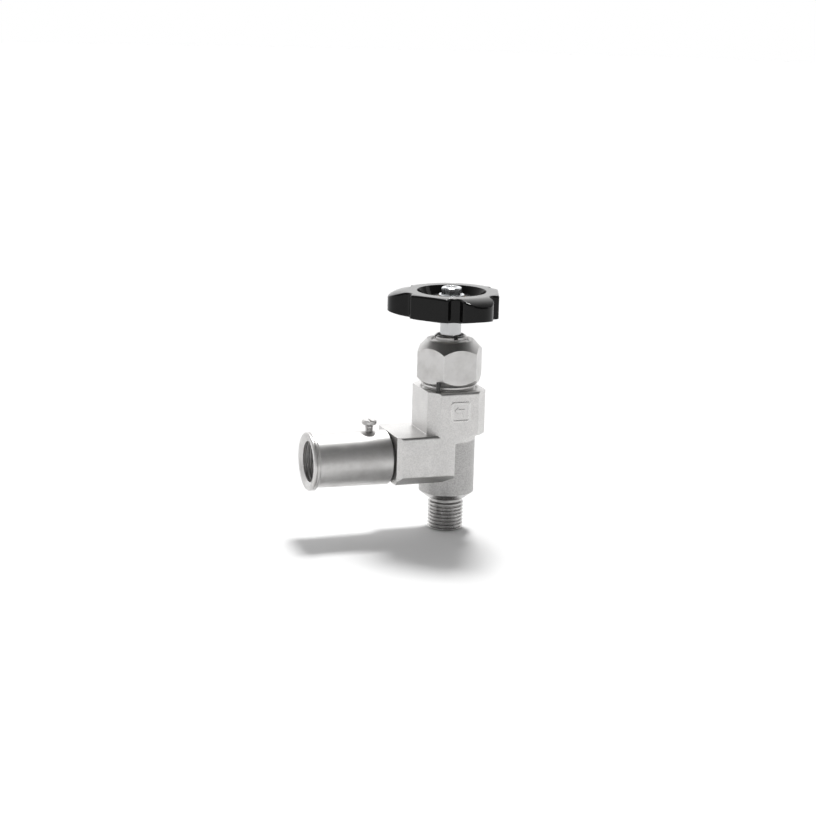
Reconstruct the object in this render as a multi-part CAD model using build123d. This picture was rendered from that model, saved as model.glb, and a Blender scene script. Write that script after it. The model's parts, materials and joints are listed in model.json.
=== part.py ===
"""Angle needle valve with a three-lobed handwheel, in millimetres.

Frame: Z is the stem axis, with Z = 0 on the end face of the inlet's male thread.
The outlet arm points along -X, and the flat forged front of the body faces -Y.
The valve is modelled closed. Each sub-part is written to parts/NODE.step.
"""

import os
from math import cos, radians, sin, sqrt, tan

from build123d import *

# ---------------------------------------------------------------- driving dimensions
FIT = 0.03  # radial gap between pieces that are fastened together
RUN = 0.06  # radial gap between pieces that slide or turn on each other
THREAD_ANGLE = 55  # Whitworth pipe thread flank angle, degrees

INLET_R = 6.58  # G1/4 male thread, crest
INLET_PITCH = 1.337
INLET_LENGTH = 12.0  # from the inlet's end face up to the seating face
INLET_RELIEF = 1.35  # undercut between the seating face and the thread
FLOW_R = 3.0  # drilled passage in the inlet and the arm

BARREL_R = 10.2
BARREL_CHAMFER_R = 3.3
BARREL_CHAMFER_Z = 2.6
BARREL_TOP = 38.0

BLOCK_WIDE = 11.3  # half the forged block's width, in X
BLOCK_DEEP = 12.0  # half its depth, in Y
BLOCK_BEVEL = 3.9
BLOCK_TOP = 54.1
ARM_Z = 28.7  # height of the outlet axis
ARM_LOW = 20.0
ARM_HIGH = 38.2
ARM_BEVEL = 3.1
ARM_END = 23.4  # the block's end face, measured along the arm
ARM_END_BEVEL = 1.6
STEP_X = -1.1  # where the arm block stops beside the barrel
STEP_LOW = 34.6  # underside of the upright at STEP_X
STEP_HIGH = 37.7  # underside of the upright at its outer side
EDGE_ROUND = 0.9

SPIGOT_R = 7.0
SPIGOT_LENGTH = 11.6
SLEEVE_R = 10.1  # at the block; the sleeve tapers a little towards its rim
SLEEVE_MOUTH_R = 9.7
SLEEVE_START = 24.0
SLEEVE_END = 54.6
RIM_R = 10.7
RIM_WIDTH = 2.3
OUTLET_R = 7.475  # G3/8 female thread, minor radius
OUTLET_MAJOR_R = 8.33
OUTLET_PITCH = 1.337
OUTLET_LENGTH = 12.0

BONNET_FLATS = 22.0
BONNET_LOW = 55.8
BONNET_HIGH = 71.9
BONNET_THREAD_R = 10.0
BONNET_PITCH = 1.5
BONNET_NOSE_R = 7.6
BONNET_NOSE_LOW = 37.0
BONNET_SHOULDER = 42.2  # where the bonnet's nose ends and its thread starts

SEAT_LOW = 20.0
SEAT_HIGH = 24.0
SEAT_R = 4.5
ORIFICE_R = 1.6
CHAMBER_R = 6.0
NEEDLE_HALF_ANGLE = 20  # degrees

STEM_R = 3.9
STEM_THREAD_R = 5.0
STEM_PITCH = 1.0
STEM_LOW = 30.4
STEM_LOWER_R = 3.2
STEM_TURNS = 4  # full opening, in turns of the handwheel
STEM_LIFT = STEM_TURNS * STEM_PITCH
BALL_R = 1.7
BALL_Z = 28.6

PACKING_LOW = 58.1
PACKING_R = 6.4
CHEVRON_RISE = 0.8
CHEVRON_THICK = 1.5
GLAND_R = 6.9
GLAND_LOW = 66.9

WHEEL_LOW = 81.0
WHEEL_HIGH = 89.8
WHEEL_R = 19.3  # the round part of the rim between two lobes
WHEEL_FLAT = 17.2  # from the axis to the rim's flat opposite each lobe
WHEEL_CREST_R = 16.0  # where the flat top ends and the crown starts to fall
LOBE_R = 6.5
LOBE_CENTRE = 16.9
LOBE_ANGLES = (40, 160, 280)
LOBE_DROOP = 4.4
FLUTE_R = 2.7  # the flute on each side of a lobe
FLUTE_CENTRE = 19.6
FLUTE_ANGLE = 27  # from the lobe's direction
FLUTE_ROUND = 1.2
RIM_ROUND = 0.7
DISH_R = 12.6
DISH_FLOOR = 85.0
BOSS_R = 8.0
BOSS_TOP = 87.8
SQUARE = 5.4  # the stem's square drive, across flats
STUD_R = 2.0
STUD_PITCH = 0.7
WASHER_THICK = 0.8
NUT_FLATS = 7.0
NUT_HEIGHT = 2.6

VENT_X = -30.8
VENT_R = 1.5
VENT_PITCH = 0.5
VENT_HEAD_R = 2.7
VENT_BALL_R = 1.0
VENT_BALL_Z = 5.9  # above the arm's axis

LOCK_PIN_R = 0.75
LOCK_PIN_X = -8.0
LOCK_PIN_Y = -10.1
LOCK_PIN_TOP = 58.0


# ---------------------------------------------------------------- helpers
def turned(points):
    """A solid of revolution about Z from its half section, given as (radius, height) points."""
    section = Plane.XZ * make_face(Polyline(*points, close=True))
    return revolve(section, axis=Axis.Z)


def rod(radius, low, high):
    """A cylinder on the Z axis."""
    return Pos(0, 0, low) * Cylinder(radius, high - low, align=(Align.CENTER, Align.CENTER, Align.MIN))


def tube(outer, inner, low, high):
    """A plain ring on the Z axis."""
    return rod(outer, low, high) - rod(inner, low, high)


def along_arm(shape):
    """Turns a shape built about Z so that its Z runs out along the outlet arm."""
    return Pos(0, 0, ARM_Z) * Rot(0, -90, 0) * shape


def thread_depth(pitch):
    """Radial depth of the thread form."""
    return 0.64 * pitch


def thread_outline(crest, pitch, low, high, inward=False):
    """(radius, height) points up a threaded wall: rings of the true section, one to each pitch.

    The crest faces outward on a male thread, and inward on a female one.
    """
    depth = -thread_depth(pitch) if inward else thread_depth(pitch)
    flank = abs(depth) * tan(radians(THREAD_ANGLE / 2))
    crest_flat = (pitch - 2 * flank) / 2
    points = []
    height = low
    while height + pitch <= high + 1e-6:
        points += [
            (crest, height),
            (crest, height + crest_flat),
            (crest - depth, height + crest_flat + flank),
            (crest - depth, height + 2 * crest_flat + flank - 0.01),
        ]
        height += pitch
    points.append((crest, height))
    if high - height > 0.01:
        points.append((crest, high))
    return points


def hexagon_prism(flats, low, high, top_r, bottom_r=None, slope=30):
    """A hexagonal prism on Z whose corners are turned back by cones, as on a nut. Two flats face +Y and -Y.

    The cones start at top_r and bottom_r. Without bottom_r the lower end stays sharp.
    """
    corner = flats / sqrt(3)
    prism = Pos(0, 0, low) * extrude(RegularPolygon(corner, 6), high - low)
    rise = tan(radians(slope))
    points = [(0, low), (corner + 1, low)]
    if bottom_r:
        points = [(0, low), (bottom_r, low), (corner + 1, low + (corner + 1 - bottom_r) * rise)]
    points += [(corner + 1, high - (corner + 1 - top_r) * rise), (top_r, high), (0, high)]
    return prism & turned(points)


# ---------------------------------------------------------------- body
def barrel():
    """The round lower body with its inlet thread."""
    root = INLET_R - thread_depth(INLET_PITCH)
    thread_top = INLET_LENGTH - INLET_RELIEF
    outline = [(0, 0), (root + 0.3, 0)]
    outline += thread_outline(INLET_R, INLET_PITCH, 0.45, thread_top - 0.4)
    outline += [
        (root - 0.2, thread_top),
        (root - 0.2, INLET_LENGTH),
        (BARREL_R - BARREL_CHAMFER_R, INLET_LENGTH),
        (BARREL_R, INLET_LENGTH + BARREL_CHAMFER_Z),
        (BARREL_R, BARREL_TOP),
        (0, BARREL_TOP),
    ]
    return turned(outline)


def forging():
    """The flat-sided forging: an upright block over the barrel and an arm block beside it."""
    outline = Polyline(
        (-ARM_END, ARM_LOW),
        (STEP_X, ARM_LOW),
        (STEP_X, STEP_LOW),
        (BLOCK_WIDE - BLOCK_BEVEL, STEP_HIGH),
        (BLOCK_WIDE, STEP_HIGH),
        (BLOCK_WIDE, BLOCK_TOP),
        (-BLOCK_WIDE, BLOCK_TOP),
        (-BLOCK_WIDE, ARM_HIGH),
        (-ARM_END, ARM_HIGH),
        close=True,
    )
    block = extrude(Plane.XZ * make_face(outline), BLOCK_DEEP, both=True)

    upright_edges = [
        e for e in block.edges().filter_by(Axis.Z)
        if abs(abs(e.center().X) - BLOCK_WIDE) < 0.1
    ]
    block = chamfer(upright_edges, BLOCK_BEVEL)
    end_edges = block.edges().filter_by(Axis.Z).group_by(Axis.X)[0]
    block = chamfer(end_edges, ARM_END_BEVEL)
    lower_edges = [
        e for e in block.edges().filter_by(Axis.X)
        if abs(e.center().Z - ARM_LOW) < 0.1 and abs(e.center().Y) > BLOCK_DEEP - 0.1
    ]
    block = chamfer(lower_edges, ARM_BEVEL)
    front_edges = [
        e for e in block.edges()
        if abs(abs(e.center().Y) - BLOCK_DEEP) < 0.01 and e.length > 1
    ]
    return fillet(front_edges, EDGE_ROUND)


def flow_mark():
    """A raised tile on the body's front with a bent arrow, from the inlet below to the outlet arm."""
    side, relief, height = 7.4, 0.35, 46.9
    tile = extrude(RectangleRounded(side, side, 1.0), relief)
    well = Pos(0, 0, relief / 2) * extrude(RectangleRounded(side - 1.3, side - 1.3, 0.6), relief)
    shaft = Pos(1.0, -0.8) * Rectangle(0.9, 2.8) + Pos(-0.1, 0.6) * Rectangle(3.1, 0.9)
    head = make_face(Polyline((-2.5, 0.6), (-0.9, 1.9), (-0.9, -0.7), close=True))
    arrow = extrude(shaft + head, relief)
    front = Plane(origin=(0.3, -BLOCK_DEEP, height), x_dir=(1, 0, 0), z_dir=(0, -1, 0))
    return front * (tile - well + arrow)


def body_bores():
    """Everything drilled, bored and tapped in the body."""
    vertical = turned([
        (0, -1),
        (FLOW_R + 1.8, -1),
        (FLOW_R, 0.8),
        (FLOW_R, SEAT_LOW),
        (SEAT_R + FIT, SEAT_LOW),
        (SEAT_R + FIT, SEAT_HIGH),
        (CHAMBER_R, SEAT_HIGH),
        (CHAMBER_R, BONNET_NOSE_LOW - 1),
        (BONNET_NOSE_R + FIT, BONNET_NOSE_LOW - 1),
        (BONNET_NOSE_R + FIT, BONNET_SHOULDER - 1.2),
        (BONNET_THREAD_R + FIT, BONNET_SHOULDER - 1.2),
        (BONNET_THREAD_R + FIT, BLOCK_TOP - 0.7),
        (BONNET_THREAD_R + 0.8, BLOCK_TOP + 0.1),
        (0, BLOCK_TOP + 0.1),
    ])
    arm = along_arm(rod(FLOW_R, 0, ARM_END + SPIGOT_LENGTH + 1))
    vent = Pos(VENT_X, 0, ARM_Z) * turned([
        (0, 0),
        (0.6, 0),
        (0.6, VENT_BALL_Z - 1.5),
        (1.25, VENT_BALL_Z - 0.6),
        (1.25, SPIGOT_R + 1),
        (0, SPIGOT_R + 1),
    ])
    pin = Pos(LOCK_PIN_X, LOCK_PIN_Y, 0) * rod(LOCK_PIN_R + 0.01, BLOCK_TOP - 6, BLOCK_TOP + 1)
    return [vertical, arm, vent, pin]


def valve_body():
    """Forged body with the inlet thread, the spigot for the outlet sleeve and the bonnet socket."""
    spigot_end = ARM_END + SPIGOT_LENGTH
    spigot = along_arm(turned([
        (0, ARM_END - 6),
        (SPIGOT_R - 0.7, ARM_END - 6),
        (SPIGOT_R - 0.7, ARM_END + 1.2),
        *thread_outline(SPIGOT_R, 1.0, ARM_END + 1.4, spigot_end - 0.8),
        (SPIGOT_R - 0.8, spigot_end),
        (0, spigot_end),
    ]))
    body = barrel() + forging() + spigot
    for cut in body_bores():
        body -= cut
    return body + flow_mark()


def seat_insert():
    """Replaceable seat with a bevelled orifice."""
    bevel = 0.5
    return turned([
        (FLOW_R, SEAT_LOW + 0.02),
        (SEAT_R, SEAT_LOW + 0.02),
        (SEAT_R, SEAT_HIGH),
        (ORIFICE_R + bevel, SEAT_HIGH),
        (ORIFICE_R, SEAT_HIGH - bevel / tan(radians(NEEDLE_HALF_ANGLE))),
        (ORIFICE_R, SEAT_LOW + 1.4),
    ])


def bonnet_lock_pin():
    """Slotted spring pin in the body's top that stops the bonnet from unscrewing."""
    low, high = BLOCK_TOP - 5.9, LOCK_PIN_TOP
    pin = tube(LOCK_PIN_R, LOCK_PIN_R - 0.3, low, high)
    slot = Pos(-LOCK_PIN_R, 0, (low + high) / 2) * Box(LOCK_PIN_R * 1.6, 0.25, high - low)
    return Pos(LOCK_PIN_X, LOCK_PIN_Y, 0) * Rot(0, 0, 50) * (pin - slot)


# ---------------------------------------------------------------- outlet
def outlet_sleeve():
    """Polished sleeve on the arm, with a beaded rim round the female outlet thread."""
    rim_start = SLEEVE_END - RIM_WIDTH
    rim_mid = rim_start + RIM_WIDTH * 0.52
    spigot_end = ARM_END + SPIGOT_LENGTH + 0.3
    thread_end = SLEEVE_END - 0.9
    thread_start = thread_end - OUTLET_LENGTH + 0.9
    outside = [
        (SLEEVE_R - 0.8, SLEEVE_START),
        (SLEEVE_R, SLEEVE_START + 0.5),
        (SLEEVE_MOUTH_R, rim_start - 0.4),
        (SLEEVE_MOUTH_R + 0.35, rim_start - 0.15),
        (RIM_R - 0.3, rim_start),
        (RIM_R, rim_start + 0.3),
        (RIM_R, rim_mid - 0.3),
        (RIM_R - 0.4, rim_mid),
        (RIM_R, rim_mid + 0.3),
        (RIM_R, SLEEVE_END - 0.4),
        (RIM_R - 0.4, SLEEVE_END),
    ]
    mouth = [(OUTLET_MAJOR_R + 0.55, SLEEVE_END), (OUTLET_R, thread_end)]
    wall = thread_outline(OUTLET_R, OUTLET_PITCH, thread_start, thread_end - 0.15, inward=True)
    inside = [
        (OUTLET_MAJOR_R + 0.2, thread_start - 0.3),
        (OUTLET_MAJOR_R + 0.2, thread_start - 1.8),
        (5.0, thread_start - 2.6),
        (5.0, spigot_end + 0.5),
        (SPIGOT_R + FIT, spigot_end + 0.5),
        (SPIGOT_R + FIT, SLEEVE_START),
    ]
    sleeve = along_arm(turned(outside + mouth + wall[::-1] + inside))
    vent = Pos(VENT_X, 0, ARM_Z) * rod(VENT_R + FIT, SPIGOT_R - 1, SLEEVE_R + 1)
    return sleeve - vent


def sleeve_gasket():
    """Flat fibre gasket between the arm block and the sleeve."""
    return along_arm(tube(SLEEVE_R - 1.0, SPIGOT_R + 0.1, ARM_END + 0.02, SLEEVE_START - 0.02))


def vent_screw():
    """Small slotted screw that bleeds the outlet, with a ball under it."""
    low = VENT_BALL_Z + VENT_BALL_R + 0.05
    head_low, head_high = SLEEVE_R + 2.6, SLEEVE_R + 4.3
    screw = turned([
        (0, low),
        (VENT_R - 0.35, low),
        (VENT_R - 0.35, low + 0.3),
        *thread_outline(VENT_R, VENT_PITCH, low + 0.6, SLEEVE_R + 1.9),
        (VENT_R - 0.3, SLEEVE_R + 2.1),
        (VENT_R - 0.3, head_low - 0.3),
        (VENT_HEAD_R - 0.3, head_low),
        (VENT_HEAD_R, head_low + 0.3),
        (VENT_HEAD_R, head_high - 0.4),
        (VENT_HEAD_R - 0.4, head_high),
        (0, head_high),
    ])
    slot = Pos(0, 0, head_high) * Box(0.8, 3 * VENT_HEAD_R, 1.6)
    return Pos(VENT_X, 0, ARM_Z) * (screw - slot)


def vent_ball():
    """Steel ball that the vent screw holds on its seat."""
    return Pos(VENT_X, 0, ARM_Z + VENT_BALL_Z) * Sphere(VENT_BALL_R)


# ---------------------------------------------------------------- bonnet and packing
def bonnet():
    """Hexagon bonnet screwed into the body, with the stem's nut thread and the packing box."""
    hexagon = hexagon_prism(BONNET_FLATS, BONNET_LOW, BONNET_HIGH, 8.7, 10.3, 46)
    root = BONNET_THREAD_R - thread_depth(BONNET_PITCH)
    lower = turned([
        (0, BONNET_NOSE_LOW),
        (BONNET_NOSE_R - 0.6, BONNET_NOSE_LOW),
        (BONNET_NOSE_R, BONNET_NOSE_LOW + 0.6),
        (BONNET_NOSE_R, BONNET_SHOULDER),
        (root, BONNET_SHOULDER + 0.1),
        *thread_outline(BONNET_THREAD_R, BONNET_PITCH, BONNET_SHOULDER + 0.6, BONNET_LOW - 0.3),
        (root, BONNET_LOW - 0.1),
        (root, BONNET_LOW + 1),
        (0, BONNET_LOW + 1),
    ])
    bore = turned([
        (0, BONNET_NOSE_LOW - 1),
        (STEM_THREAD_R + RUN, BONNET_NOSE_LOW - 1),
        (STEM_THREAD_R + RUN, PACKING_LOW - 1),
        (PACKING_R + FIT, PACKING_LOW - 1),
        (PACKING_R + FIT, GLAND_LOW - 0.6),
        (GLAND_R + FIT, GLAND_LOW - 0.6),
        (GLAND_R + FIT, BONNET_HIGH - 0.5),
        (GLAND_R + 0.6, BONNET_HIGH + 0.1),
        (0, BONNET_HIGH + 0.1),
    ])
    return hexagon + lower - bore


def bonnet_seal_ring():
    """O-ring under the bonnet's thread shoulder."""
    section = 0.55
    groove_z = BONNET_SHOULDER - 1.2 + section
    return Pos(0, 0, groove_z) * Torus(BONNET_NOSE_R + FIT + section, section)


def chevron(low):
    """One V section from the stem to the packing box, starting at this height."""
    inner, outer = STEM_R + RUN, PACKING_R
    middle = (inner + outer) / 2
    return [
        (inner, low),
        (middle, low + CHEVRON_RISE),
        (outer, low),
        (outer, low + CHEVRON_THICK),
        (middle, low + CHEVRON_THICK + CHEVRON_RISE),
        (inner, low + CHEVRON_THICK),
    ]


def packing_rings():
    """Three nested V rings round the stem, one node each."""
    names = ("packing_ring_lower", "packing_ring_middle", "packing_ring_upper")
    step = CHEVRON_THICK + 0.02
    return {name: turned(chevron(PACKING_LOW + 0.8 + i * step)) for i, name in enumerate(names)}


def packing_support_washer():
    """Bottom adapter with a V top, under the packing."""
    inner, outer = STEM_R + RUN, PACKING_R
    top = PACKING_LOW + 0.78
    low = PACKING_LOW - 0.98
    return turned([
        (inner, low),
        (outer, low),
        (outer, top),
        ((inner + outer) / 2, top + CHEVRON_RISE),
        (inner, top),
    ])


def gland_follower():
    """Bush that presses the packing down, with a V underside."""
    inner, outer = STEM_R + RUN, PACKING_R
    low = PACKING_LOW + 0.8 + 3 * (CHEVRON_THICK + 0.02)
    top = GLAND_LOW - 0.02
    return turned([
        (inner, low),
        ((inner + outer) / 2, low + CHEVRON_RISE),
        (outer, low),
        (outer, top),
        (inner, top),
    ])


def gland_nut():
    """Slotted nut in the bonnet's top that adjusts the packing."""
    collar_r, top = 6.0, BONNET_HIGH + 1.7
    groove_low = top - 1.4
    nut = turned([
        (STEM_R + RUN, GLAND_LOW),
        (GLAND_R - 0.5, GLAND_LOW),
        *thread_outline(GLAND_R, 1.0, GLAND_LOW + 0.5, BONNET_HIGH - 0.6),
        (GLAND_R - 0.6, BONNET_HIGH - 0.4),
        (collar_r, BONNET_HIGH + 0.1),
        (collar_r, top - 0.5),
        (collar_r - 0.5, top),
        (STEM_R + 1.1, top),
        (STEM_R + 1.1, groove_low),
        (STEM_R + RUN, groove_low),
    ])
    slot = Pos(0, 0, top) * Box(3 * collar_r, 1.6, 2.2)
    keep = rod(STEM_R + 1.0, GLAND_LOW, top + 2)
    cross = (slot + Rot(0, 0, 90) * slot) - keep
    return nut - cross


def stem_wiper():
    """Rubber wiper in the gland nut's top."""
    top = BONNET_HIGH + 1.6
    return tube(STEM_R + 1.05, STEM_R + RUN, top - 1.25, top)


# ---------------------------------------------------------------- stem and needle
def stem():
    """Stem with the square drive and stud for the handwheel, its thread, and a ball end for the needle."""
    thread_low, thread_high = 39.0, PACKING_LOW - 1.6 - STEM_LIFT
    root = STEM_THREAD_R - thread_depth(STEM_PITCH)
    drive_low = WHEEL_LOW + 1.2
    drive_high = BOSS_TOP - 0.2
    stud_high = BOSS_TOP + WASHER_THICK + NUT_HEIGHT - 0.2
    shaft = turned([
        (0, STEM_LOW),
        (STEM_LOWER_R - 0.3, STEM_LOW),
        (STEM_LOWER_R, STEM_LOW + 0.3),
        (STEM_LOWER_R, thread_low - 1.2),
        (root, thread_low - 0.8),
        *thread_outline(STEM_THREAD_R, STEM_PITCH, thread_low, thread_high - 0.4),
        (root, thread_high),
        (STEM_R, thread_high + 0.4),
        (STEM_R, drive_low),
        (0, drive_low),
    ])
    square = Pos(0, 0, drive_low) * extrude(RectangleRounded(SQUARE, SQUARE, 0.5), drive_high - drive_low)
    stud = turned([
        (0, drive_high),
        (STUD_R - 0.3, drive_high),
        *thread_outline(STUD_R, STUD_PITCH, drive_high + 0.3, stud_high - 0.35),
        (STUD_R - 0.4, stud_high),
        (0, stud_high),
    ])
    neck = rod(0.95, BALL_Z, STEM_LOW)
    return shaft + square + stud + neck + Pos(0, 0, BALL_Z) * Sphere(BALL_R)


def needle_tip():
    """Needle that lifts without turning: a socket on the stem's ball over a tapered point."""
    top = STEM_LOW - 0.15
    pocket_r = BALL_R + 0.08
    ring_low = top - 0.75
    touch_gap = 0.05
    shoulder = SEAT_HIGH + 0.6
    slope = tan(radians(NEEDLE_HALF_ANGLE))
    cone_r = ORIFICE_R + 0.5 - touch_gap + (shoulder - SEAT_HIGH) * slope
    tip_r = 0.5
    tip_z = shoulder - (cone_r - tip_r) / slope
    needle = turned([
        (0, tip_z),
        (tip_r, tip_z),
        (cone_r, shoulder),
        (STEM_LOWER_R, shoulder + 0.6),
        (STEM_LOWER_R, top - 0.3),
        (STEM_LOWER_R - 0.3, top),
        (0, top),
    ])
    socket = turned([
        (0, BALL_Z),
        (pocket_r, BALL_Z),
        (pocket_r, ring_low),
        (pocket_r + 0.45, ring_low),
        (pocket_r + 0.45, top + 0.1),
        (0, top + 0.1),
    ])
    return needle - socket - Pos(0, 0, BALL_Z) * Sphere(pocket_r)


def needle_retaining_ring():
    """Split ring staked in the needle's top, which holds the stem's ball in the socket."""
    top = STEM_LOW - 0.15
    ring = turned([
        (1.1, top - 0.08),
        (1.3, top - 0.42),
        (BALL_R + 0.08, top - 0.72),
        (BALL_R + 0.5, top - 0.72),
        (BALL_R + 0.5, top - 0.02),
    ])
    return ring - Pos(BALL_R, 0, top - 0.4) * Box(2.2, 0.5, 1.2)


# ---------------------------------------------------------------- handwheel
def around(radius, angle):
    """A place in plan at this distance and direction from the Z axis."""
    return Pos(radius * cos(radians(angle)), radius * sin(radians(angle)))


def wheel_outline(inset=0.0):
    """The wheel's plan: a rim with three flats and three fluted lobes, or the same moved in."""
    flat = WHEEL_FLAT - inset
    plan = Circle(WHEEL_R - inset)
    for angle in LOBE_ANGLES:
        plan -= Rot(0, 0, angle + 180) * Pos(flat + 10, 0) * Rectangle(20, 60)
    for angle in LOBE_ANGLES:
        plan += around(LOBE_CENTRE, angle) * Circle(LOBE_R - inset)
    for angle in LOBE_ANGLES:
        for side in (-FLUTE_ANGLE, FLUTE_ANGLE):
            plan -= around(FLUTE_CENTRE, angle + side) * Circle(FLUTE_R + inset)
    return plan


def wheel_envelope():
    """The space the wheel is trimmed to: a flat top ring, then a crown that falls towards the lobes' tips."""
    reach = LOBE_CENTRE + LOBE_R + 2
    edge = WHEEL_HIGH - LOBE_DROOP
    with BuildLine() as section:
        Line((0, WHEEL_LOW), (LOBE_CENTRE + 1, WHEEL_LOW))
        Line((LOBE_CENTRE + 1, WHEEL_LOW), (reach, WHEEL_LOW + 1.6))
        Line((reach, WHEEL_LOW + 1.6), (reach, edge))
        TangentArc((WHEEL_CREST_R, WHEEL_HIGH), (reach, edge), tangent=(1, 0))
        Line((WHEEL_CREST_R, WHEEL_HIGH), (0, WHEEL_HIGH))
        Line((0, WHEEL_HIGH), (0, WHEEL_LOW))
    return revolve(Plane.XZ * make_face(section.line), axis=Axis.Z)


def handwheel():
    """Moulded three-lobed wheel: a round dish on top with a centre boss, and a ribbed hollow underneath."""
    height = WHEEL_HIGH - WHEEL_LOW
    blank = Pos(0, 0, WHEEL_LOW) * extrude(wheel_outline(), height)
    upright_edges = [e for e in blank.edges().filter_by(Axis.Z) if abs(e.length - height) < 0.01]
    blank = fillet(upright_edges, FLUTE_ROUND) & wheel_envelope()
    rim_edges = [
        e for e in blank.edges()
        if e.center().Z > WHEEL_HIGH - LOBE_DROOP - 0.6
        and abs(e.tangent_at(0.5).Z) < 0.9
        and max(sqrt(v.X ** 2 + v.Y ** 2) for v in e.vertices()) > WHEEL_CREST_R + 0.3
    ]
    blank = fillet(rim_edges, RIM_ROUND)
    dish = turned([
        (BOSS_R, BOSS_TOP),
        (BOSS_R + 0.7, DISH_FLOOR),
        (DISH_R - 1.6, DISH_FLOOR),
        (DISH_R - 0.5, BOSS_TOP),
        (DISH_R + 0.2, WHEEL_HIGH + 0.1),
        (0, WHEEL_HIGH + 0.1),
        (0, BOSS_TOP),
    ])
    wall, hub_r, depth = 2.2, 6.2, 3.0
    hollow = Pos(0, 0, WHEEL_LOW - 1) * extrude(wheel_outline(wall), depth + 1)
    hollow -= rod(hub_r, WHEEL_LOW - 1, WHEEL_HIGH)
    for angle in LOBE_ANGLES:
        rib = Rot(0, 0, angle) * Pos(12, 0, WHEEL_LOW + depth / 2) * Box(24, 1.8, 2 * depth)
        hollow -= rib
    bush = rod(5.0 + FIT, WHEEL_LOW - 1, BOSS_TOP + 1)
    return blank - dish - hollow - bush


def handwheel_bush():
    """Knurled brass bush moulded into the wheel, with the square hole for the stem."""
    bush = rod(4.75, WHEEL_LOW, BOSS_TOP)
    flutes = 24
    for i in range(flutes):
        bush += Rot(0, 0, i * 360 / flutes) * Pos(4.6, 0, (WHEEL_LOW + BOSS_TOP) / 2) * Box(
            0.75, 0.6, BOSS_TOP - WHEEL_LOW
        )
    square = Pos(0, 0, WHEEL_LOW - 1) * extrude(
        RectangleRounded(SQUARE + 2 * FIT, SQUARE + 2 * FIT, 0.5), BOSS_TOP - WHEEL_LOW + 2
    )
    counterbore = rod(STEM_R + FIT, WHEEL_LOW - 1, WHEEL_LOW + 1.25)
    return bush - square - counterbore


def handwheel_washer():
    """Plain washer on the boss."""
    low, high = BOSS_TOP + 0.02, BOSS_TOP + WASHER_THICK
    outer = 4.75
    return turned([
        (STUD_R + 0.15, low),
        (outer, low),
        (outer, high - 0.2),
        (outer - 0.2, high),
        (STUD_R + 0.15, high),
    ])


def handwheel_nut():
    """Hexagon nut on the stem's stud."""
    low = BOSS_TOP + WASHER_THICK + 0.02
    nut = hexagon_prism(NUT_FLATS, low, low + NUT_HEIGHT, 3.3)
    bore = turned([
        (0, low - 0.1),
        (STUD_R + FIT, low - 0.1),
        (STUD_R + FIT, low + NUT_HEIGHT - 0.3),
        (STUD_R + 0.4, low + NUT_HEIGHT + 0.1),
        (0, low + NUT_HEIGHT + 0.1),
    ])
    return nut - bore


def main():
    """Builds every sub-part and writes one STEP file for each."""
    nodes = {
        "valve_body": valve_body(),
        "seat_insert": seat_insert(),
        "bonnet_lock_pin": bonnet_lock_pin(),
        "outlet_sleeve": outlet_sleeve(),
        "sleeve_gasket": sleeve_gasket(),
        "vent_screw": vent_screw(),
        "vent_ball": vent_ball(),
        "bonnet": bonnet(),
        "bonnet_seal_ring": bonnet_seal_ring(),
        "packing_support_washer": packing_support_washer(),
        **packing_rings(),
        "gland_follower": gland_follower(),
        "gland_nut": gland_nut(),
        "stem_wiper": stem_wiper(),
        "stem": stem(),
        "needle_tip": needle_tip(),
        "needle_retaining_ring": needle_retaining_ring(),
        "handwheel": handwheel(),
        "handwheel_bush": handwheel_bush(),
        "handwheel_washer": handwheel_washer(),
        "handwheel_nut": handwheel_nut(),
    }
    os.makedirs("parts", exist_ok=True)
    for name, shape in nodes.items():
        export_step(shape, f"parts/{name}.step")


main()
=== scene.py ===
"""Studio scene of the angle needle valve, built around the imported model."""

import json
from math import cos, radians, sin

import bmesh
import bpy
from mathutils import Euler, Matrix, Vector


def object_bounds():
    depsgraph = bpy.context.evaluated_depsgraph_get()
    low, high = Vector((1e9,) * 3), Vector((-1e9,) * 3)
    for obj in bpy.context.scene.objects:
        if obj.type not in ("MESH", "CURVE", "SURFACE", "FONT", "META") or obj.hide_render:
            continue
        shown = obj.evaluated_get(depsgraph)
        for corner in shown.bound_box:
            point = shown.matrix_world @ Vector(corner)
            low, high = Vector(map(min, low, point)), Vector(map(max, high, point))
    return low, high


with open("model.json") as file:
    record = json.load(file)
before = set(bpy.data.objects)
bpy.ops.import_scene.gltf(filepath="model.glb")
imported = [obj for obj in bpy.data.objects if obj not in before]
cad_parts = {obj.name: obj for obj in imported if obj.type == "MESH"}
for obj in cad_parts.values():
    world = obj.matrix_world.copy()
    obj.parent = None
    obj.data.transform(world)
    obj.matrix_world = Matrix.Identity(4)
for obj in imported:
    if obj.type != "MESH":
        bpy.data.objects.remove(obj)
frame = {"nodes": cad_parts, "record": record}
cad_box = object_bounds()

MM = 0.001

# Camera, at the photo's viewing angle
CAMERA_AZIMUTH = -19.9  # degrees; 0 looks along +Y
CAMERA_ELEVATION = 13.3
CAMERA_ROLL = 1.44
CAMERA_DISTANCE = 0.75
CAMERA_LENS = 90.1
CAMERA_AIM = Vector((-16.23, -1.05, 46.86)) * MM

# Floor and light
FLOOR_RADIUS = 3.0
BACKDROP_WHITE = 1.0

# Where a finish gives way to the next, or where painted shade or a painted sheen starts: each range
# is the width of the change
# BARREL_SIDE and BLOCK_FOOT bound the barrel, which gets denser speckle and painted shade
BARREL_SIDE = (10.25 * MM, 10.35 * MM)  # radius, from the barrel to the flat-sided block
BLOCK_FOOT = (34.4 * MM, 34.9 * MM)  # height, from the barrel to the flat-sided block
BARREL_FOOT = (14.4 * MM, 14.8 * MM)  # height, from the turned inlet to the blasted barrel
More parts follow.
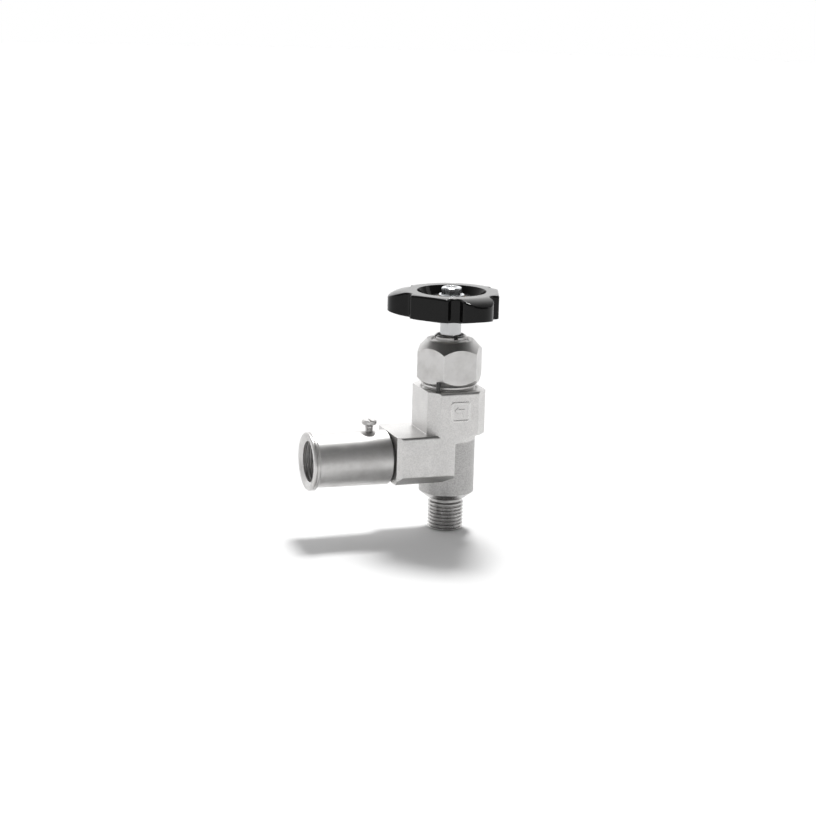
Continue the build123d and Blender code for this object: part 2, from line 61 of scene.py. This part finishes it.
# WHEEL_RING and UPWARD place the painted sheen on the wheel's level top ring
WHEEL_RING = (87.9 * MM, 89.2 * MM)  # height, up to the wheel's top ring
UPWARD = (0.86, 0.99)  # vertical part of the normal, from a slope to a level face


# ---------------------------------------------------------------- node trees
def new_material(name):
    """An empty node material, its tree and its Principled shader."""
    material = bpy.data.materials.new(name)
    material.use_nodes = True
    tree = material.node_tree
    return material, tree, tree.nodes["Principled BSDF"]


def add(tree, kind, inputs=None, **settings):
    """Adds a node. A socket among the inputs is linked, and any other value is set on the input."""
    node = tree.nodes.new(kind)
    for key, value in settings.items():
        setattr(node, key, value)
    for key, value in (inputs or {}).items():
        if isinstance(value, bpy.types.NodeSocket):
            tree.links.new(value, node.inputs[key])
        else:
            node.inputs[key].default_value = value
    return node


def position(tree):
    """The surface point in the piece's own coordinates, so that its grain moves with it."""
    return add(tree, "ShaderNodeTexCoord").outputs["Object"]


def stretched(tree, scale):
    """The surface point with each axis scaled on its own, for grain that runs one way."""
    inputs = {"Vector": position(tree), "Scale": scale}
    return add(tree, "ShaderNodeMapping", inputs).outputs["Vector"]


def noise(tree, vector, scale, detail=3.0, roughness=0.55):
    """Noise from 0 to 1."""
    inputs = {"Vector": vector, "Scale": scale, "Detail": detail, "Roughness": roughness}
    return add(tree, "ShaderNodeTexNoise", inputs).outputs["Fac"]


def remap(tree, value, low, high, to_low, to_high):
    """A value moved from one range to another, and held within it."""
    inputs = {"Value": value, "From Min": low, "From Max": high}
    inputs |= {"To Min": to_low, "To Max": to_high}
    return add(tree, "ShaderNodeMapRange", inputs).outputs["Result"]


def math(tree, operation, a, b):
    """One arithmetic step."""
    return add(tree, "ShaderNodeMath", {0: a, 1: b}, operation=operation).outputs["Value"]


def mix_colour(tree, factor, a, b):
    """A blend of two colours."""
    return add(tree, "ShaderNodeMix", {0: factor, 6: a, 7: b}, data_type="RGBA").outputs[2]


def mix_value(tree, factor, a, b):
    """A blend of two numbers."""
    return add(tree, "ShaderNodeMix", {0: factor, 2: a, 3: b}).outputs[0]


def bump(tree, height, distance, strength=1.0, normal=None):
    """A bumped normal. The height runs from 0 to 1, and distance is its depth in metres."""
    inputs = {"Height": height, "Distance": distance, "Strength": strength}
    if normal is not None:
        inputs["Normal"] = normal
    return add(tree, "ShaderNodeBump", inputs).outputs["Normal"]


def rounded_normal(tree, radius):
    """The surface normal with its edges rounded off."""
    return add(tree, "ShaderNodeBevel", {"Radius": radius}, samples=6).outputs["Normal"]


def edge_mask(tree, radius):
    """1 along worn edges and 0 on the open faces, broken up so that the wear is uneven."""
    rounded = rounded_normal(tree, radius)
    flat = add(tree, "ShaderNodeNewGeometry").outputs["Normal"]
    aligned = add(tree, "ShaderNodeVectorMath", {0: rounded, 1: flat}, operation="DOT_PRODUCT")
    sharp = remap(tree, aligned.outputs["Value"], 0.80, 0.985, 1.0, 0.0)
    patches = remap(tree, noise(tree, position(tree), 420.0), 0.35, 0.6, 0.35, 1.0)
    return math(tree, "MULTIPLY", sharp, patches)


def grey(value, warmth=0.0):
    """A neutral colour, a little warm or cool."""
    return (value * (1 + warmth), value, value * (1 - warmth), 1.0)


# ---------------------------------------------------------------- materials
def blasted_plate():
    """Satin nickel plate over a blasted forging, speckled on the barrel and smooth below it, with
    painted shade darkening the barrel's colour.
    """
    material, tree, shader = new_material("blasted_nickel_plate")
    place = position(tree)
    parts = add(tree, "ShaderNodeSeparateXYZ", {"Vector": place})
    across = add(tree, "ShaderNodeVectorMath", {0: place, 1: (1.0, 1.0, 0.0)}, operation="MULTIPLY")
    length = add(tree, "ShaderNodeVectorMath", {0: across.outputs[0]}, operation="LENGTH")
    radius = length.outputs["Value"]
    inside_barrel = remap(tree, radius, *BARREL_SIDE, 1.0, 0.0)
    below_block = remap(tree, parts.outputs["Z"], *BLOCK_FOOT, 1.0, 0.0)
    on_barrel = math(tree, "MULTIPLY", inside_barrel, below_block)
    turned = remap(tree, parts.outputs["Z"], *BARREL_FOOT, 1.0, 0.0)

    grain = noise(tree, place, 2300.0, 4.0, 0.6)
    pits = remap(tree, noise(tree, place, 900.0, 2.0), 0.30, 0.52, 0.0, 1.0)
    blasted = math(tree, "MULTIPLY", grain, pits)
    lathe = noise(tree, stretched(tree, (60.0, 60.0, 9000.0)), 1.0, 2.0)
    height = mix_value(tree, turned, blasted, lathe)
    normal = rounded_normal(tree, 0.25 * MM)
    tree.links.new(bump(tree, height, 0.028 * MM, 0.9, normal), shader.inputs["Normal"])

    worn = edge_mask(tree, 0.5 * MM)
    cloud = remap(tree, noise(tree, place, 130.0, 4.0), 0.3, 0.7, 0.0, 1.0)
    colour = mix_colour(tree, cloud, grey(0.61, 0.012), grey(0.69, 0.016))
    speckle = remap(tree, grain, 0.40, 0.62, 0.0, 0.35)
    colour = mix_colour(tree, speckle, colour, grey(0.40, 0.01))
    # Painted shade: the barrel's colour is darkened, standing in for the darker sides a round
    # barrel shows under this light.
    barrel_painted_shade = math(tree, "MULTIPLY", on_barrel, 0.7)
    colour = mix_colour(tree, barrel_painted_shade, colour, grey(0.38, 0.012))
    barrel_speckle = math(tree, "MULTIPLY", on_barrel, speckle)
    colour = mix_colour(tree, barrel_speckle, colour, grey(0.16, 0.01))
    colour = mix_colour(tree, worn, colour, grey(0.88, 0.01))
    tree.links.new(colour, shader.inputs["Base Color"])

    rough = remap(tree, grain, 0.3, 0.7, 0.30, 0.44)
    rough = mix_value(tree, turned, rough, 0.24)
    rough = mix_value(tree, worn, rough, 0.16)
    tree.links.new(rough, shader.inputs["Roughness"])
    shader.inputs["Metallic"].default_value = 1.0
    return material


def polished_nickel(name, grain_scale):
    """Satin nickel plate with fine turning marks, faint handling smears and rubbed edges."""
    material, tree, shader = new_material(name)
    place = position(tree)
    marks = noise(tree, stretched(tree, grain_scale), 1.0, 2.0)
    normal = rounded_normal(tree, 0.18 * MM)
    tree.links.new(bump(tree, marks, 0.003 * MM, 0.6, normal), shader.inputs["Normal"])
    smear = remap(tree, noise(tree, place, 190.0, 5.0, 0.6), 0.42, 0.72, 0.0, 1.0)
    rough = remap(tree, smear, 0.0, 1.0, 0.40, 0.48)
    worn = edge_mask(tree, 0.3 * MM)
    rough = mix_value(tree, worn, rough, 0.09)
    tree.links.new(rough, shader.inputs["Roughness"])
    colour = mix_colour(tree, smear, grey(0.62, 0.012), grey(0.53, 0.018))
    colour = mix_colour(tree, worn, colour, grey(0.92, 0.01))
    tree.links.new(colour, shader.inputs["Base Color"])
    shader.inputs["Metallic"].default_value = 1.0
    return material


def turned_steel():
    """Stainless bar turned on a lathe: rings round Z and a few fine scratches along it."""
    material, tree, shader = new_material("turned_stainless")
    rings = noise(tree, stretched(tree, (40.0, 40.0, 12000.0)), 1.0, 2.0)
    scratches = noise(tree, stretched(tree, (2600.0, 2600.0, 90.0)), 1.0, 2.0)
    scratches = remap(tree, scratches, 0.62, 0.70, 0.0, 1.0)
    normal = bump(tree, rings, 0.004 * MM, 0.7, rounded_normal(tree, 0.15 * MM))
    tree.links.new(bump(tree, scratches, 0.003 * MM, 0.5, normal), shader.inputs["Normal"])
    colour = mix_colour(tree, scratches, grey(0.50, -0.01), grey(0.40, -0.01))
    tree.links.new(colour, shader.inputs["Base Color"])
    rough = remap(tree, noise(tree, position(tree), 300.0), 0.3, 0.7, 0.17, 0.27)
    tree.links.new(rough, shader.inputs["Roughness"])
    shader.inputs["Metallic"].default_value = 1.0
    return material


def zinc_plate():
    """Bright zinc plate: a cool, slightly streaky silver, with rubbed edges."""
    material, tree, shader = new_material("bright_zinc_plate")
    streaks = noise(tree, stretched(tree, (700.0, 1900.0, 700.0)), 1.0, 4.0)
    normal = bump(tree, streaks, 0.006 * MM, 0.6, rounded_normal(tree, 0.2 * MM))
    tree.links.new(normal, shader.inputs["Normal"])
    worn = edge_mask(tree, 0.25 * MM)
    colour = mix_colour(tree, streaks, grey(0.66, -0.03), grey(0.80, -0.02))
    colour = mix_colour(tree, worn, colour, grey(0.93))
    tree.links.new(colour, shader.inputs["Base Color"])
    tree.links.new(remap(tree, streaks, 0.3, 0.7, 0.20, 0.34), shader.inputs["Roughness"])
    shader.inputs["Metallic"].default_value = 1.0
    return material


def black_oxide():
    """Oiled black spring steel, bright where its edges are rubbed."""
    material, tree, shader = new_material("black_oxide_steel")
    cloud = noise(tree, position(tree), 900.0, 4.0)
    worn = edge_mask(tree, 0.2 * MM)
    colour = mix_colour(tree, cloud, grey(0.03), grey(0.07, 0.03))
    tree.links.new(mix_colour(tree, worn, colour, grey(0.35)), shader.inputs["Base Color"])
    tree.links.new(remap(tree, cloud, 0.3, 0.7, 0.28, 0.42), shader.inputs["Roughness"])
    tree.links.new(bump(tree, cloud, 0.008 * MM, 0.5), shader.inputs["Normal"])
    shader.inputs["Metallic"].default_value = 0.85
    return material


def machined_brass():
    """Cut brass with tool rings and a light tarnish."""
    material, tree, shader = new_material("machined_brass")
    rings = noise(tree, stretched(tree, (120.0, 120.0, 7000.0)), 1.0, 2.0)
    tarnish = remap(tree, noise(tree, position(tree), 260.0, 4.0), 0.35, 0.7, 0.0, 1.0)
    colour = mix_colour(tree, tarnish, (0.80, 0.58, 0.24, 1.0), (0.55, 0.36, 0.14, 1.0))
    tree.links.new(colour, shader.inputs["Base Color"])
    tree.links.new(remap(tree, tarnish, 0.0, 1.0, 0.20, 0.38), shader.inputs["Roughness"])
    normal = bump(tree, rings, 0.006 * MM, 0.7, rounded_normal(tree, 0.12 * MM))
    tree.links.new(normal, shader.inputs["Normal"])
    shader.inputs["Metallic"].default_value = 1.0
    return material


def black_phenolic():
    """Glossy moulded phenolic: near black, with ripples, flecks and a painted sheen on the level
    faces of its top ring.
    """
    material, tree, shader = new_material("glossy_black_phenolic")
    place = position(tree)
    ripple = noise(tree, place, 190.0, 2.0, 0.4)
    fleck = remap(tree, noise(tree, place, 1500.0, 2.0), 0.58, 0.72, 0.0, 1.0)
    normal = bump(tree, ripple, 0.05 * MM, 0.35, rounded_normal(tree, 0.35 * MM))
    tree.links.new(bump(tree, fleck, 0.002 * MM, 0.5, normal), shader.inputs["Normal"])
    handled = remap(tree, noise(tree, place, 95.0, 5.0, 0.62), 0.42, 0.70, 0.0, 1.0)
    tree.links.new(remap(tree, handled, 0.0, 1.0, 0.085, 0.20), shader.inputs["Roughness"])
    worn = edge_mask(tree, 0.7 * MM)
    colour = mix_colour(tree, fleck, grey(0.003), grey(0.007, 0.05))
    half_worn = math(tree, "MULTIPLY", worn, 0.5)
    colour = mix_colour(tree, half_worn, colour, grey(0.016, 0.04))
    # Painted sheen: level faces of the top ring get a lighter grey colour, standing in for the
    # reflection they catch, patchy where handled.
    facing = add(tree, "ShaderNodeNewGeometry").outputs["Normal"]
    upward = add(tree, "ShaderNodeSeparateXYZ", {"Vector": facing}).outputs["Z"]
    height = add(tree, "ShaderNodeSeparateXYZ", {"Vector": place}).outputs["Z"]
    level = remap(tree, upward, *UPWARD, 0.0, 1.0)
    high = remap(tree, height, *WHEEL_RING, 0.0, 1.0)
    patchy = remap(tree, handled, 0.0, 1.0, 0.75, 1.0)
    painted_sheen = math(tree, "MULTIPLY", math(tree, "MULTIPLY", level, high), patchy)
    colour = mix_colour(tree, painted_sheen, colour, grey(0.12, 0.01))
    tree.links.new(colour, shader.inputs["Base Color"])
    shader.inputs["Specular IOR Level"].default_value = 0.2
    return material


def waxy_white():
    """Packing polymer: matte white, with skive marks."""
    material, tree, shader = new_material("packing_polymer")
    rings = noise(tree, stretched(tree, (200.0, 200.0, 5000.0)), 1.0, 2.0)
    cloud = noise(tree, position(tree), 400.0)
    colour = mix_colour(tree, cloud, (0.82, 0.82, 0.79, 1.0), (0.90, 0.90, 0.88, 1.0))
    tree.links.new(colour, shader.inputs["Base Color"])
    tree.links.new(bump(tree, rings, 0.01 * MM, 0.5), shader.inputs["Normal"])
    tree.links.new(remap(tree, cloud, 0.3, 0.7, 0.38, 0.55), shader.inputs["Roughness"])
    return material


def nitrile():
    """Moulded black rubber with a bloom of dust."""
    material, tree, shader = new_material("nitrile_rubber")
    cloud = noise(tree, position(tree), 700.0, 5.0)
    colour = mix_colour(tree, cloud, grey(0.014), grey(0.045))
    tree.links.new(colour, shader.inputs["Base Color"])
    tree.links.new(bump(tree, cloud, 0.02 * MM, 0.5), shader.inputs["Normal"])
    tree.links.new(remap(tree, cloud, 0.3, 0.7, 0.55, 0.75), shader.inputs["Roughness"])
    return material


def fibre_sheet():
    """Pressed fibre gasket sheet, with short strands in it."""
    material, tree, shader = new_material("fibre_gasket_sheet")
    strands = noise(tree, stretched(tree, (900.0, 3800.0, 900.0)), 1.0, 3.0)
    colour = mix_colour(tree, strands, grey(0.025), grey(0.09, 0.03))
    tree.links.new(colour, shader.inputs["Base Color"])
    tree.links.new(bump(tree, strands, 0.03 * MM, 0.6), shader.inputs["Normal"])
    tree.links.new(remap(tree, strands, 0.3, 0.7, 0.6, 0.85), shader.inputs["Roughness"])
    return material


def paint_nodes():
    """Gives every CAD node the material of its slot, and the sleeve a grain of its own."""
    along_z = (50.0, 50.0, 9000.0)
    along_x = (9000.0, 50.0, 50.0)
    by_slot = {
        "forged_brass_plated": blasted_plate(),
        "bright_nickel": polished_nickel("polished_nickel", along_z),
        "stainless": turned_steel(),
        "zinc": zinc_plate(),
        "spring_steel": black_oxide(),
        "brass": machined_brass(),
        "black_phenolic": black_phenolic(),
        "ptfe": waxy_white(),
        "nitrile": nitrile(),
        "fibre": fibre_sheet(),
    }
    sleeve_finish = polished_nickel("polished_nickel_sleeve", along_x)
    for part in frame["record"]["subparts"]:
        material = by_slot[part["material_slot"]]
        if part["node"] == "outlet_sleeve":
            material = sleeve_finish
        node = frame["nodes"][part["node"]]
        node.data.materials.clear()
        node.data.materials.append(material)


# ---------------------------------------------------------------- studio
def make_floor():
    """A pale studio floor that runs out past every view."""
    mesh = bpy.data.meshes.new("studio_floor")
    shape = bmesh.new()
    bmesh.ops.create_circle(shape, cap_ends=True, radius=FLOOR_RADIUS, segments=96)
    shape.to_mesh(mesh)
    shape.free()
    floor = bpy.data.objects.new("studio_floor", mesh)
    bpy.context.scene.collection.objects.link(floor)
    material, tree, shader = new_material("pale_floor")
    cloud = noise(tree, position(tree), 14.0, 4.0)
    tree.links.new(mix_colour(tree, cloud, grey(0.86), grey(0.89)), shader.inputs["Base Color"])
    shader.inputs["Roughness"].default_value = 0.9
    shader.inputs["Specular IOR Level"].default_value = 0.1
    mesh.materials.append(material)


def make_world():
    """Studio surroundings: white behind the valve, dimmer in front of it and overhead."""
    world = bpy.data.worlds.new("studio")
    bpy.context.scene.world = world
    world.use_nodes = True
    tree = world.node_tree
    background = tree.nodes["Background"]
    direction = add(tree, "ShaderNodeTexCoord").outputs["Generated"]
    parts = add(tree, "ShaderNodeSeparateXYZ", {"Vector": direction})
    behind = remap(tree, parts.outputs["Y"], -0.25, 0.90, 0.33, 1.32)
    zenith_dimming = remap(tree, parts.outputs["Z"], 0.30, 0.95, 0.0, 0.34)
    light = math(tree, "SUBTRACT", behind, zenith_dimming)
    to_camera = add(tree, "ShaderNodeLightPath").outputs["Is Camera Ray"]
    seen = mix_value(tree, to_camera, light, BACKDROP_WHITE)
    tree.links.new(seen, background.inputs["Strength"])
    background.inputs["Color"].default_value = (1.0, 1.0, 1.0, 1.0)


def area_light(name, place, aim, width, height, power):
    """A rectangular softbox at a place, pointing at a spot, in metres and watts."""
    data = bpy.data.lights.new(name, "AREA")
    data.shape = "RECTANGLE"
    data.size = width
    data.size_y = height
    data.energy = power
    light = bpy.data.objects.new(name, data)
    light.location = place
    light.rotation_euler = (Vector(aim) - Vector(place)).to_track_quat("-Z", "Y").to_euler()
    bpy.context.scene.collection.objects.link(light)


def soft_sun(name, toward, strength, spread):
    """A distant light of a wide spread, in degrees, shining from a direction."""
    data = bpy.data.lights.new(name, "SUN")
    data.energy = strength
    data.angle = radians(spread)
    light = bpy.data.objects.new(name, data)
    light.rotation_euler = Vector(toward).to_track_quat("Z", "Y").to_euler()
    bpy.context.scene.collection.objects.link(light)


def make_lights(centre):
    """A soft light high up and behind, and weak softboxes in front and at the side."""
    soft_sun("key", toward=(0.19, 0.37, 0.91), strength=2.6, spread=13.0)
    front = centre + Vector((-0.42, -0.62, 0.40))
    area_light("front_box", front, centre, width=0.50, height=0.16, power=0.5)
    side = centre + Vector((0.70, -0.22, 0.30))
    area_light("side_box", side, centre, width=0.20, height=0.50, power=0.4)


def make_camera():
    """The camera, at the photo's viewing angle."""
    azimuth, elevation = radians(CAMERA_AZIMUTH), radians(CAMERA_ELEVATION)
    back = Vector((sin(azimuth) * cos(elevation), -cos(azimuth) * cos(elevation), sin(elevation)))
    data = bpy.data.cameras.new("camera")
    data.lens = CAMERA_LENS
    data.clip_start = 0.01
    data.clip_end = 20.0
    camera = bpy.data.objects.new("camera", data)
    camera.rotation_mode = "QUATERNION"
    camera.location = CAMERA_AIM + back * CAMERA_DISTANCE
    level = (-back).to_track_quat("-Z", "Y")
    camera.rotation_quaternion = level @ Euler((0.0, 0.0, radians(CAMERA_ROLL))).to_quaternion()
    bpy.context.scene.collection.objects.link(camera)
    bpy.context.scene.camera = camera


centre = (cad_box[0] + cad_box[1]) / 2
paint_nodes()
make_floor()
make_world()
make_lights(centre)
make_camera()
bpy.context.scene.view_settings.view_transform = "Standard"
